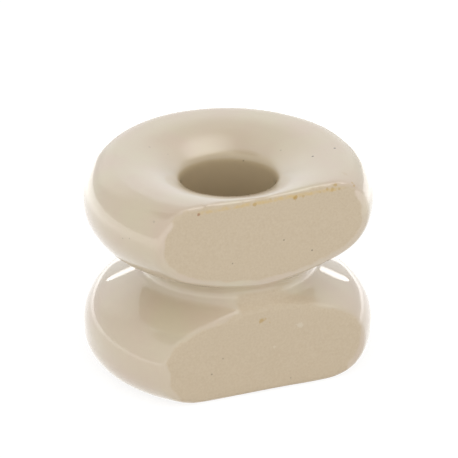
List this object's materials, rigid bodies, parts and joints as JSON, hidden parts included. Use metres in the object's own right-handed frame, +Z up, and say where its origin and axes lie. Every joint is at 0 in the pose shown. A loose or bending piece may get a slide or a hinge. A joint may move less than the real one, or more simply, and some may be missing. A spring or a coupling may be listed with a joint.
{
  "type": "porcelain eyelet",
  "caption": "Glazed porcelain spool eyelet: a flared hole through its axis, a round groove at its waist for a tie wire, and a flat side.",
  "frame": {"origin": "on the hole's axis, halfway between the two end faces", "axes": "+Z up the hole's axis as the piece stands in the picture, the flat side faces -Y, +X runs across the widest part of the flanges"},
  "size_m": [0.045, 0.0375, 0.0334],
  "materials": {
    "glaze": "glossy cream glaze, a little mottled, with brown stains along the flat's edge and fine dark specks; the flats are duller"
  },
  "bodies": {
    "root": {"eyelet_body": "glaze"}
  },
  "joints": []
}
